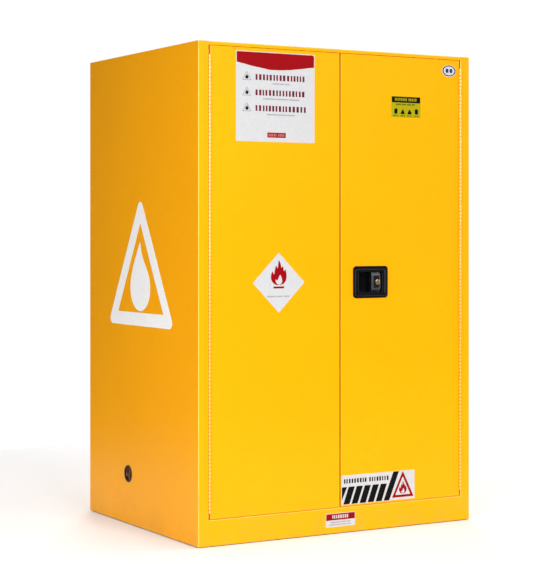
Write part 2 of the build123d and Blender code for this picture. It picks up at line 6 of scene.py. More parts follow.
import bmesh
import bpy
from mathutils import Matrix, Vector


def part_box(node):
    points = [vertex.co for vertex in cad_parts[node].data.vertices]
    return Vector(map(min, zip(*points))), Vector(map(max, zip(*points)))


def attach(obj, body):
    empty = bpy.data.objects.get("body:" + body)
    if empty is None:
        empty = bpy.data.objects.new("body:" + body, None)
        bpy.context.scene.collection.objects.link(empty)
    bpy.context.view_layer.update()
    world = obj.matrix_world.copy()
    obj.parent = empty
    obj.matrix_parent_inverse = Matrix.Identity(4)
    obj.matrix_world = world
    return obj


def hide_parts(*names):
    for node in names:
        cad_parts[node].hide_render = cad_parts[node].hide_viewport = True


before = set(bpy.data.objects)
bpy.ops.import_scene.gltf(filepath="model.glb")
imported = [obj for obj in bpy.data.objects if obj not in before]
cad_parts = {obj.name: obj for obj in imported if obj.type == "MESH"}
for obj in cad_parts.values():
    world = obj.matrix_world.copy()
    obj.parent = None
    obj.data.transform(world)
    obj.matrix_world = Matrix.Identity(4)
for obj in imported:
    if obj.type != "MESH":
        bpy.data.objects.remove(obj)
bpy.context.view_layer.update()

bl_info = {
    "name": "Flammable storage cabinet",
    "version": (1, 0, 0),
    "blender": (4, 5, 0),
    "location": "3D View > Sidebar > Cabinet",
    "description": "Finishes and fine pieces of a flammable storage cabinet",
    "category": "Object",
}

# Places on the frame that the finishes follow
DOOR_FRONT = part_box("left_door_outer")[0].y
PADDLE_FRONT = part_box("paddle")[0].y
HINGE_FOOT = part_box("hinge_pins")[0].z
KNUCKLE_PITCH = 0.0127

# Colours that more than one finish uses
DUST = (0.34, 0.26, 0.12)
# Painted highlight on bends and rounded edges
BEND_HIGHLIGHT = (1.0, 0.62, 0.16)
# Painted shade in gaps between parts: the doors' meeting edges and the hinges' knuckle joints
SEAM_SHADE = (0.16, 0.05, 0.004)
KEY_BRASS = (0.85, 0.62, 0.26)
WHITE = (1, 1, 1, 1)

# Soft panels of the studio: place, what they face, width and height, power
PANELS = {
    "key_light": ((-0.4, -6.9, 3.4), (0, -0.4, 0.95), (3.6, 3.6), 296),
    "top_light": ((3.0, -5.0, 3.9), (0.1, -0.4, 0.9), (1.5, 1.0), 50),
    "left_light": ((-3.5, -2.8, 1.7), (-0.5, -0.2, 0.9), (2.0, 2.2), 152),
    "right_light": ((5.0, -1.7, 1.7), (0.5, -0.2, 0.9), (2.4, 2.4), 120),
    "back_light": ((2.6, 5.6, 3.0), (0.1, 0.4, 0.8), (3.0, 3.0), 260),
}
FLOOR_POWER = 1.3
FLOOR_LIGHT_ANGLE = math.radians(12)
SURROUND_POWER = 0.12
MM_IN_METRE = 1000


# Shader maths


class Value:
    """A shader socket that Python expressions can work on."""

    def __init__(self, shader, socket):
        self.shader = shader
        self.socket = socket

    def math(self, operation, *others):
        """Math node on this value and others."""
        inputs = dict(enumerate((self, *others)))
        return self.shader.node("ShaderNodeMath", {"operation": operation}, inputs)

    def __add__(self, other):
        return self.math("ADD", other)

    def __sub__(self, other):
        return self.math("SUBTRACT", other)

    def __rsub__(self, other):
        return self.shader.node("ShaderNodeMath", {"operation": "SUBTRACT"}, {0: other, 1: self})

    def __mul__(self, other):
        return self.math("MULTIPLY", other)

    __radd__ = __add__
    __rmul__ = __mul__

    def __truediv__(self, other):
        return self.math("DIVIDE", other)

    def over(self, low, high):
        """0 below low, 1 above high, smooth between."""
        settings = {"interpolation_type": "SMOOTHSTEP"}
        return self.shader.node("ShaderNodeMapRange", settings, {0: self, 1: low, 2: high})


class Shader:
    """Node tree of one material, ending in a principled shader."""

    def __init__(self, name):
        self.material = bpy.data.materials.new(name)
        self.material.use_nodes = True
        self.tree = self.material.node_tree
        self.tree.nodes.clear()
        self.end = self.tree.nodes.new("ShaderNodeBsdfPrincipled")
        out = self.tree.nodes.new("ShaderNodeOutputMaterial")
        self.tree.links.new(self.end.outputs[0], out.inputs[0])
        self.place = self.node("ShaderNodeTexCoord", {}, {}, "Object")

    def node(self, kind, settings, inputs, output=0):
        """A node of this type, with its settings, then its sockets' values or links."""
        made = self.tree.nodes.new(kind)
        for key, value in settings.items():
            setattr(made, key, value)
        for key, value in inputs.items():
            if isinstance(value, Value):
                self.tree.links.new(value.socket, made.inputs[key])
            else:
                made.inputs[key].default_value = value
        return Value(self, made.outputs[output])

    def noise(self, scale, detail, roughness=0.5, place=None):
        """Noise over the object, or over a stretched place."""
        inputs = {"Vector": place or self.place, "Scale": scale, "Detail": detail}
        return self.node("ShaderNodeTexNoise", {}, {**inputs, "Roughness": roughness})

    def stretched(self, x, y, z):
        """Place, scaled along each axis."""
        settings = {"operation": "MULTIPLY"}
        return self.node("ShaderNodeVectorMath", settings, {0: self.place, 1: (x, y, z)})

    def axis(self, letter):
        """One coordinate, in metres."""
        return self.node("ShaderNodeSeparateXYZ", {}, {0: self.place}, letter)

    def mix(self, factor, first, second):
        """Colour mix. A colour is a Value or three numbers."""
        settings = {"data_type": "RGBA", "blend_type": "MIX"}
        sides = [c if isinstance(c, Value) else (*c, 1) for c in (first, second)]
        return self.node("ShaderNodeMix", settings, {0: factor, 6: sides[0], 7: sides[1]}, 2)

    def bump(self, height, depth, strength, under=None):
        """Normal of a relief of this depth, on top of another one."""
        inputs = {"Height": height, "Distance": depth, "Strength": strength}
        if under:
            inputs["Normal"] = under
        return self.node("ShaderNodeBump", {}, inputs)

    def finish(self, **sockets):
        """Sets or links the shader's sockets, named with _ for a space, and gives the material."""
        for key, value in sockets.items():
            socket = self.end.inputs[key.replace("_", " ")]
            if isinstance(value, Value):
                self.tree.links.new(value.socket, socket)
            elif key == "Base_Color":
                socket.default_value = (*value, 1)
            else:
                socket.default_value = value
        return self.material


# Materials


def tint(colour, share):
    """Colour made darker or lighter by a share."""
    return tuple(min(1.0, c * share) for c in colour)


def powder_coat(name, colour, rough=0.27, gloss=0.14, pale=0.6, seam_shade=None):
    """Baked powder paint on sheet steel.

    It has a faint orange peel, long waves in the sheet, dust low down, a painted highlight on its
    bends, and painted shade in gaps where the given mask is 1.
    """
    s = Shader(name)
    drift = s.noise(1.4, 3.0)
    mottle = s.noise(38.0, 4.0, 0.6)
    base = s.mix(drift.over(0.3, 0.7), tint(colour, 0.965), tint(colour, 1.02))
    base = s.mix(mottle.over(0.35, 0.75) * 0.35, base, tint(colour, 0.94))
    dust = (1.0 - s.axis("Z").over(0.0, 0.14)) * s.noise(9.0, 5.0, 0.65).over(0.35, 0.8)
    base = s.mix(dust * 0.22, base, DUST)
    # Painted highlight: the share pale of the bend mask lightens bends and rounded edges
    base = s.mix(bends(s) * pale, base, BEND_HIGHLIGHT)
    # Painted shade: the colour darkens where the mask is 1, in gaps between parts
    if seam_shade:
        base = s.mix(seam_shade(s) * 0.8, base, SEAM_SHADE)
    peel = s.bump(s.noise(300.0, 2.0), 0.0004, 0.16)
    waves = s.bump(s.noise(2.6, 1.0), 0.003, 0.22, peel)
    smear = s.noise(7.0, 4.0, 0.6, s.stretched(1.0, 1.0, 0.35))
    rough = rough + smear * 0.12 + dust * 0.2
    return s.finish(Base_Color=base, Roughness=rough, Normal=waves, Specular_IOR_Level=gloss)


def bends(s):
    """1 where sheet is bent or rounded, 0 on faces square to the cabinet: where a highlight is
    painted.
    """
    normal = s.node("ShaderNodeTexCoord", {}, {}, "Normal")
    parts = (s.node("ShaderNodeSeparateXYZ", {}, {0: normal}, letter) for letter in "XYZ")
    x, y, z = (part.math("ABSOLUTE") for part in parts)
    square = x.math("MAXIMUM", y).math("MAXIMUM", z)
    return 1.0 - square.over(0.93, 0.99)


def meeting_edges(s):
    """1 on the edges of the doors where they meet, behind their rounded corners: where shade in the
    gap between the doors is painted.
    """
    near = 1.0 - s.axis("X").math("ABSOLUTE").over(0.003, 0.005)
    behind = DOOR_FRONT + 0.001
    return near * s.axis("Y").over(behind, behind + 0.002)


def knuckle_joints(s):
    """1 in the joints between the hinges' knuckles, where shade in their gaps is painted."""
    place = (s.axis("Z") - HINGE_FOOT) / KNUCKLE_PITCH
    return (place.math("FRACT") - 0.5).math("ABSOLUTE").over(0.36, 0.46)


def paddle_front(s):
    """1 on the raised front of the paddle, 0 in its sunk field; the raised front gets a painted
    highlight.
    """
    return 1.0 - s.axis("Y").over(PADDLE_FRONT + 0.0003, PADDLE_FRONT + 0.0013)


def edge_wear_and_sheen(s, radius):
    """1 on outer edges, 0 on flats."""
    soft = s.node("ShaderNodeBevel", {"samples": 4}, {"Radius": radius})
    true = s.node("ShaderNodeNewGeometry", {}, {}, "Normal")
    settings = {"operation": "DOT_PRODUCT"}
    dot = s.node("ShaderNodeVectorMath", settings, {0: soft, 1: true}, "Value")
    return 1.0 - dot.over(0.82, 0.99)


def galvanised(name):
    """Zinc-dipped sheet with its spangle."""
    s = Shader(name)
    cells = s.node("ShaderNodeTexVoronoi", {}, {"Vector": s.place, "Scale": 70.0}, "Color")
    grain = s.node("ShaderNodeSeparateColor", {}, {0: cells}, 0)
    base = s.mix(grain, (0.42, 0.44, 0.46), (0.68, 0.70, 0.72))
    white_rust = s.noise(5.0, 5.0, 0.7).over(0.6, 0.85)
    base = s.mix(white_rust * 0.25, base, (0.75, 0.75, 0.73))
    rough = 0.3 + grain * 0.22 + white_rust * 0.2
    bump = s.bump(grain, 0.0002, 0.25)
    return s.finish(Base_Color=base, Roughness=rough, Metallic=0.9, Normal=bump)


def plated_steel(name, colour=(0.62, 0.63, 0.65), along=(1.0, 1.0, 0.05)):
    """Zinc-plated steel, drawn along one way."""
    s = Shader(name)
    lines = s.noise(900.0, 2.0, 0.5, s.stretched(*along))
    haze = s.noise(25.0, 4.0, 0.6)
    base = s.mix(haze.over(0.3, 0.7), tint(colour, 0.8), tint(colour, 1.12))
    bump = s.bump(lines, 0.0001, 0.35)
    return s.finish(Base_Color=base, Roughness=0.26 + lines * 0.18, Metallic=1.0, Normal=bump)


def lock_black(name, colour=(0.002, 0.002, 0.003), gloss=0.15, rubbed_and_sheen=(0.035, 0.036, 0.045),
               handled_and_highlight=None):
    """Black powder coat of the lock, grey on its edges and on a given mask: partly rubbed wear,
    partly painted highlight.
    """
    s = Shader(name)
    peel = s.noise(1500.0, 2.0)
    edge = edge_wear_and_sheen(s, 0.0012)
    rub_and_sheen = s.noise(90.0, 4.0, 0.7).over(0.35, 0.75)
    # Grey edges: partly rubbed wear, partly painted highlight
    base = s.mix(edge * (0.35 + rub_and_sheen * 0.65), colour, rubbed_and_sheen)
    # Painted highlight on the given mask, also standing for hand wear
    if handled_and_highlight:
        base = s.mix(handled_and_highlight(s) * (0.25 + rub_and_sheen * 0.2), base, rubbed_and_sheen)
    bump = s.bump(peel, 0.00008, 0.5)
    rough = 0.24 + s.noise(60.0, 3.0) * 0.12
    return s.finish(Base_Color=base, Roughness=rough, Normal=bump, Specular_IOR_Level=gloss)


def brass(name, colour, dull):
    """Turned brass or bronze, darker in its pores."""
    s = Shader(name)
    stain = s.noise(160.0, 5.0, 0.7).over(0.35, 0.8)
    base = s.mix(stain * dull, colour, tint(colour, 0.35))
    rough = 0.2 + stain * (0.25 + dull * 0.2)
    bump = s.bump(s.noise(700.0, 3.0), 0.0001, 0.4)
    return s.finish(Base_Color=base, Roughness=rough, Metallic=1.0, Normal=bump)


def rubber(name):
    """Matt black rubber."""
    s = Shader(name)
    grain = s.noise(1200.0, 3.0, 0.6)
    base = s.mix(grain, (0.012, 0.012, 0.012), (0.03, 0.03, 0.03))
    rough = 0.75 + grain * 0.15
    return s.finish(Base_Color=base, Roughness=rough, Normal=s.bump(grain, 0.0002, 0.4))


def vinyl(name, colour):
    """Printed vinyl: faint mottle of the ink and small ripples of the film."""
    s = Shader(name)
    mottle = s.noise(120.0, 4.0, 0.6).over(0.3, 0.8)
    base = s.mix(mottle, colour, tint(colour, 0.93))
    ripple = s.bump(s.noise(24.0, 2.0), 0.0006, 0.25)
    rough = 0.3 + s.noise(40.0, 3.0) * 0.12
    return s.finish(Base_Color=base, Roughness=rough, Normal=ripple, Specular_IOR_Level=0.08)


def studio_floor(name, colour):
    """Pale seamless studio floor."""
    s = Shader(name)
    base = s.mix(s.noise(0.8, 2.0).over(0.3, 0.7), colour, tint(colour, 0.985))
    return s.finish(Base_Color=base, Roughness=0.9 + s.noise(60.0, 3.0) * 0.08)


def wear(nodes, material):
    """Gives CAD nodes a material."""
    for name in nodes:
        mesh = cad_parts[name].data
        mesh.materials.clear()
        mesh.materials.append(material)


# Meshes


def put(name, data):
    """New object in the scene."""
    obj = bpy.data.objects.new(name, data)
    bpy.context.scene.collection.objects.link(obj)
    return obj


def piece(name, mesh, material, body, slot, smooth_angle=None):
    """New object from a mesh, riding on a body."""
    obj = put(name, mesh)
    mesh.materials.append(material)
    if smooth_angle:
        mesh.polygons.foreach_set("use_smooth", [True] * len(mesh.polygons))
        mesh.set_sharp_from_angle(angle=math.radians(smooth_angle))
    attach(obj, body)
    return obj


def mesh_from(name, bm):
    """Mesh from a bmesh, with its normals outward."""
    bmesh.ops.recalc_face_normals(bm, faces=bm.faces)
    mesh = bpy.data.meshes.new(name)
    bm.to_mesh(mesh)
    bm.free()
    return mesh


def front_view(node):
    """Middle, width and height of a node, seen from the front."""
    low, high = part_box(node)
    return (low.x + high.x) / 2, (low.z + high.z) / 2, high.x - low.x, high.z - low.z


QUARTER_TURN = tuple(math.radians(turn) for turn in (0, 22.5, 45, 67.5, 90))
CORNERS = ((1, 1), (-1, 1), (-1, -1), (1, -1))


def corner_point(turn, wide, high, radius, angle):
    """Point at an angle on one of a rectangle's rounded corners."""
    sx, sy = CORNERS[turn % 4]
    return (sx * (wide / 2 - radius) + radius * math.cos(angle),
            sy * (high / 2 - radius) + radius * math.sin(angle))


def rounded_loop(wide, high, radius, corner=6, side=4):
    """Points round a rounded rectangle, anticlockwise, with steps in each corner and side."""
    radius = min(radius, wide / 2, high / 2)
    points = []
    for turn in range(4):
        for i in range(corner + 1):
            angle = math.radians(90 * turn + 90 * i / corner)
            points.append(corner_point(turn, wide, high, radius, angle))
        end = points[-1]
        start = corner_point(turn + 1, wide, high, radius, math.radians(90 * (turn + 1)))
        for i in range(1, side):
            share = i / side
            points.append(tuple(a + (b - a) * share for a, b in zip(end, start)))
    return points


def quads(bm, low, high):
    """Quads between two rings of vertices with equal counts."""
    count = len(low)
    for i in range(count):
        j = (i + 1) % count
        bm.faces.new((low[i], low[j], high[j], high[i]))


def skin_loops(bm, loops):
    """Quads between rings of points with equal counts, capped at both ends."""
    rings = [[bm.verts.new(p) for p in ring] for ring in loops]
    for low, high in zip(rings, rings[1:]):
        quads(bm, low, high)
    bm.faces.new(rings[0][::-1])
    bm.faces.new(rings[-1])


def skin_hoop(bm, loops):
    """Quads between rings of points with equal counts, and from the last back to the first."""
    rings = [[bm.verts.new(p) for p in ring] for ring in loops]
    for low, high in zip(rings, rings[1:] + rings[:1]):
        quads(bm, low, high)


def front_ring(x, z, wide, high, radius, y):
    """Rounded rectangle that faces the front."""
    return [(x + a, y, z + b) for a, b in rounded_loop(wide, high, radius)]


def lathe_ring(centre, direction, radius, along, count):
    """Ring round an axis along X or Y."""
    points = []
    for i in range(count):
        a = 2 * math.pi * i / count
        u = radius * math.cos(a)
        v = radius * math.sin(a)
        local = (along, u, v) if direction == "X" else (u, along, v)
        points.append(tuple(c + d for c, d in zip(centre, local)))
    return points


def lathe(name, centre, direction, profile, count):
    """Turned solid: the profile is (radius, distance along the axis)."""
    bm = bmesh.new()
    skin_loops(bm, [lathe_ring(centre, direction, r, a, count) for r, a in profile])
    return mesh_from(name, bm)


def spaced(high, steps):
    """Evenly spaced lengths from 0 to high."""
    return [high * i / steps for i in range(steps + 1)]


def cut(mesh, tool):
    """Mesh with another closed mesh taken out of it."""
    whole = put("whole", mesh)
    knife = put("knife", tool)
    change = whole.modifiers.new("cut", "BOOLEAN")
    change.object = knife
    change.solver = "EXACT"
    graph = bpy.context.evaluated_depsgraph_get()
    made = bpy.data.meshes.new_from_object(whole.evaluated_get(graph))
    made.name = mesh.name
    bpy.data.objects.remove(whole)
    bpy.data.objects.remove(knife)
    return made


# Artwork


FLAME = [
    (0.0, 0.0), (-0.22, 0.04), (-0.38, 0.22), (-0.40, 0.42), (-0.33, 0.60), (-0.25, 0.47),
    (-0.20, 0.66), (-0.14, 0.86), (-0.05, 0.74), (0.0, 1.10), (0.10, 0.92), (0.14, 0.76),
    (0.22, 0.84), (0.26, 0.62), (0.35, 0.68), (0.40, 0.42), (0.37, 0.20), (0.22, 0.04),
]
FLAME_HEART = [
    (0.02, 0.01), (-0.14, 0.10), (-0.16, 0.24), (-0.07, 0.20), (0.07, 0.44), (0.17, 0.22),
    (0.14, 0.08),
]

# Body and material slot of each sticker's artwork
STICKERS = {
    "label_hazard": ("left_door", "sticker_white"),
    "label_diamond": ("left_door", "sticker_white"),
    "label_goods": ("right_door", "sticker_white"),
    "label_sill": ("cabinet", "sticker_white"),
    "label_rating": ("right_door", "sticker_green"),
    "label_oval": ("right_door", "sticker_blue"),
}
INK = 0.00012


def scaled(outline, u, v, size):
    """Outline moved and scaled."""
    return [(u + a * size, v + b * size) for a, b in outline]


def curve_at(t, a, b, c, d):
    """Place at share t of the smooth curve from b to c, with a before it and d after it."""
    square = (2 * a - 5 * b + 4 * c - d) * t * t
    cube = (3 * b - a - 3 * c + d) * t**3
    return 0.5 * (2 * b + (c - a) * t + square + cube)


def smooth_closed(points, steps=4):
    """Closed curve through a few points."""
    count = len(points)
    made = []
    for i in range(count):
        near = [points[(i + k - 1) % count] for k in range(4)]
        for k in range(steps):
            made.append(tuple(curve_at(k / steps, *four) for four in zip(*near)))
    return made


def triangle(size, corner=0.12, rise=0.88):
    """Upright triangle with rounded corners, from the middle of its foot."""
    tips = [Vector((0, size * rise)), Vector((-size / 2, 0)), Vector((size / 2, 0))]
    centre = sum(tips, Vector((0, 0))) / 3
    radius = size * corner
    points = []
    for i, tip in enumerate(tips):
        inner = tip + (centre - tip).normalized() * radius * 2
        for k in range(5):
            angle = math.radians(90 + 120 * i - 60 + 30 * k)
            points.append((inner.x + radius * math.cos(angle), inner.y + radius * math.sin(angle)))
    return points


class Artwork:
    """Flat ink shapes on a sticker, measured in metres from its lower left corner."""

    def __init__(self, node, layer=0):
        self.node = node
        self.low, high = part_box(node)
        self.wide = high.x - self.low.x
        self.high = high.z - self.low.z
        self.low.y -= INK * layer
        self.bm = bmesh.new()

    def points(self, outline, depth):
        """Outline in the frame's coordinates, this far in front of the sticker."""
        return [(self.low.x + u, self.low.y - depth, self.low.z + v) for u, v in outline]

    def shape(self, outline):
        """One closed ink outline."""
        skin_loops(self.bm, [self.points(outline, 0), self.points(outline, INK)])

    def ring(self, outer, inner):
        """Ink band between two outlines with equal counts."""
        sides = ((outer, 0), (outer, INK), (inner, INK), (inner, 0))
        skin_hoop(self.bm, [self.points(outline, depth) for outline, depth in sides])

    def bar(self, u, v, wide, high, radius=0.0):
        """Ink rectangle from its lower left corner."""
        if radius:
            loop = rounded_loop(wide, high, radius, 3, 1)
            self.shape([(u + wide / 2 + a, v + high / 2 + b) for a, b in loop])
        else:
            self.slanted(u, v, v + high, wide, 0)

    def slanted(self, u, low, high, wide, rise):
        """Ink bar whose top is moved to the right by rise."""
        self.shape([(u, low), (u + wide, low), (u + wide + rise, high), (u + rise, high)])

    def flame(self, u, v, size, outline=FLAME):
        """Flame, or its heart, from the middle of its foot."""
        self.shape(scaled(smooth_closed(outline), u, v, size))

    def words(self, u, v, wide, high, seed, words):
        """Row of blank marks of the size of lettering, which spell nothing."""
        pick = random.Random(seed)
        end = u + wide
        starts = [u + wide * (i + 1) / words for i in range(words - 1)]
        while u < end - high * 0.2:
            if starts and u > starts[0]:
                starts.pop(0)
                u += high * 0.5
            step = min(high * pick.uniform(0.3, 0.5), end - u)
            self.bar(u, v, step, high)
            u += step + high * pick.uniform(0.24, 0.36)

    def done(self, name, material):
        """The ink as a piece on the sticker's body."""
        return piece(name, mesh_from(name, self.bm), material, *STICKERS[self.node])


# Sizes and colours that a user would change


def colour_choice(name, description, default):
    """Colour in the sidebar."""
    return bpy.props.FloatVectorProperty(
        name=name, description=description, default=default,
        size=3, min=0.0, max=1.0, subtype="COLOR")


def length_choice(name, description, default):
    """Length in the sidebar, in metres."""
    return bpy.props.FloatProperty(
        name=name, description=description, default=default,
        min=0.0, unit="LENGTH", subtype="DISTANCE")


def number_choice(name, description, default, **kind):
    """Number in the sidebar, which may be below 0."""
    return bpy.props.FloatProperty(name=name, description=description, default=default, **kind)


class CabinetPaint(bpy.types.PropertyGroup):
    """Paint of the sheet steel."""

    outside: colour_choice("Outside", "Powder coat of the walls and doors", (0.9, 0.37, 0.0))
    inside: colour_choice("Inside", "Powder coat of the liner and sump", (0.9, 0.37, 0.0))


class CabinetPrint(bpy.types.PropertyGroup):
    """Paper and inks of the stickers."""

    paper: colour_choice("Paper", "Ground of the white stickers", (0.53, 0.53, 0.54))
    red: colour_choice("Red", "Red ink", (0.27, 0.001, 0.004))
    black: colour_choice("Black", "Black ink", (0.003, 0.003, 0.003))
    green: colour_choice("Yellow green", "Ground of the small notice", (0.36, 0.32, 0.003))
    blue: colour_choice("Blue", "Ring on the small oval", (0.02, 0.03, 0.12))


class CabinetLock(bpy.types.PropertyGroup):
    """Sizes of the lock plate and the paddle."""

    plate_thick: length_choice("Plate", "Thickness of the lock plate", 0.003)
    plate_edge: length_choice("Plate edge", "Rounding of the lock plate's edge", 0.002)
    recess_wide: length_choice("Recess width", "Width of the hand recess", 0.096)
    recess_high: length_choice("Recess height", "Height of the hand recess", 0.070)
    recess_deep: length_choice("Recess depth", "Depth of the hand recess", 0.026)
    recess_shift: number_choice("Recess shift", "Recess to the right of the plate's middle", -0.001,
                                unit="LENGTH", subtype="DISTANCE")
    tub_wall: length_choice("Tub wall", "Thickness of the recess's wall", 0.002)
    lip: length_choice("Recess lip", "Rounding of the hand recess's edge", 0.0028)
    nose: length_choice("Paddle nose", "Rounding of the paddle over its pin", 0.010)
    rim: length_choice("Paddle rim", "Paddle's left edge to the key field", 0.0095)
    field_wide: length_choice("Field width", "Width of the sunk key field", 0.027)
    field_low: length_choice("Field foot", "Paddle's foot to the key field", 0.0125)
    field_high: length_choice("Field height", "Height of the sunk key field", 0.043)
    field_deep: length_choice("Field depth", "Depth of the sunk key field", 0.003)


class CabinetStage(bpy.types.PropertyGroup):
    """Camera and floor."""

    lens: length_choice("Lens", "Focal length of the camera", 0.1084)
    distance: length_choice("Distance", "Camera to the cabinet's middle, along the floor", 6.108)
    eye: length_choice("Eye height", "Height of the camera", 1.0297)
    azimuth: number_choice("Azimuth", "Turn of the camera to the cabinet's left",
                           math.radians(30.26), subtype="ANGLE")
    shift_x: number_choice("Shift across", "Sideways lens shift", 0.005)
    shift_y: number_choice("Shift up", "Upward lens shift", -0.0908)
    floor: colour_choice("Floor", "Studio floor", (0.79, 0.79, 0.79))
    floor_radius: length_choice("Floor radius", "Radius of the studio floor", 2.2)


GROUPS = {
    "cabinet_paint": CabinetPaint,
    "cabinet_print": CabinetPrint,
    "cabinet_lock": CabinetLock,
    "cabinet_stage": CabinetStage,
}


# Operators


class CABINET_OT_paint(bpy.types.Operator):
    """Paint the walls, the frame, the doors and the liner"""

    bl_idname = "cabinet.paint"
    bl_label = "Painted sheet"

    def execute(self, context):
        choice = context.scene.cabinet_paint
        outside = powder_coat("outside_coat", tuple(choice.outside))
        # The doors' meeting edges are darkened: painted shade in the gap between them
        doors = powder_coat("door_coat", tuple(choice.outside), pale=0.06, seam_shade=meeting_edges)
        inside = powder_coat("inside_coat", tuple(choice.inside), pale=0.1)
        wear(["outer_side_left", "outer_side_right", "outer_back", "outer_top", "base_pan",
              "front_header", "front_sill", "door_stops"], outside)
        wear(["left_door_outer", "right_door_outer"], doors)
        wear(["liner_left", "liner_right", "liner_back", "liner_top", "sump_floor",
              "left_door_inner", "right_door_inner"], inside)
        return {"FINISHED"}


class CABINET_OT_fittings(bpy.types.Operator):
    """Finish the hinges, shelves, bolts, rods, strikes, feet and the earthing stud"""

    bl_idname = "cabinet.fittings"
    bl_label = "Hinges and fittings"

    def execute(self, context):
        # Lighter copy of the outside paint: a painted highlight along the hinges
        colour = tint(tuple(context.scene.cabinet_paint.outside), 1.1)
        # Knuckle joints darkened: painted shade in the gaps between the hinges' knuckles
        hinge = powder_coat("hinge_coat", colour, 0.16, 0.8, seam_shade=knuckle_joints)
        hands = ("left", "right")
        wear([f"hinge_{leaf}_leaf_{hand}" for leaf in ("frame", "door") for hand in hands], hinge)
        zinc = galvanised("zinc_sheet")
        wear(["shelf_lower", "shelf_upper", "shelf_uprights", "shelf_clips"], zinc)
        rod = plated_steel("drawn_rod")
        wear(["hinge_pins", "rod_top", "rod_bottom", "left_bolt_top", "left_bolt_bottom",
              "paddle_pins"], rod)
        flat = plated_steel("plated_steel", (0.6, 0.61, 0.62), (1.0, 0.05, 1.0))
        wear(["centre_bolt", "strike_plates", "left_bolt_guides", "rod_guides", "crank_arms",
              "lock_cam", "housing_screws", "foot_nuts"], flat)
        wear([f"foot_{end}_{hand}" for end in ("front", "rear") for hand in hands], rod)
        wear(["ground_stud", "ground_nuts"], brass("stud_brass", (0.72, 0.52, 0.20), 0.3))
        return {"FINISHED"}


# Lock plate: corners, then its groove as (depth, inset, corner), then the floor of its recess
# as (height over the floor, inset, corner, slope of the left wall)
PLATE_CORNER = 0.012
TUB_CORNER = 0.005
RECESS_CORNER = 0.004
PLATE_GROOVE = ((0, 0.0075, 0.0062), (0.0005, 0.0082, 0.0058), (0.0005, 0.0108, 0.0050),
                (0, 0.0115, 0.0047))
RECESS_FLOOR = ((0.003, 0, 0.004, 0.004), (0.001, 0.0006, 0.0038, 0.0048),
                (0, 0.002, 0.003, 0.006))

# Paddle: rounding of its left edge and ends, thickness at its thinnest, how far its top leans
# back and where that starts over the field, the ridge under the field and the step below it,
# the slope of the field's sides, and the columns and rows of its mesh
PADDLE_SIDE_ROUND = 0.0018
PADDLE_END_ROUND = 0.0012
PADDLE_THIN = 0.0006
PADDLE_GRID = (46, 60)
TOP_LEAN = 0.0032
TOP_START = 0.001
RIDGE_TOP = 0.0035
RIDGE_FOOT = 0.005
RIDGE_SLOPE = 0.0015
RIDGE_STEP = 0.0016
FIELD_SLOPE = 0.0012

KEYWAY_WIDE = 0.0017
KEYWAY_DEEP = 0.008


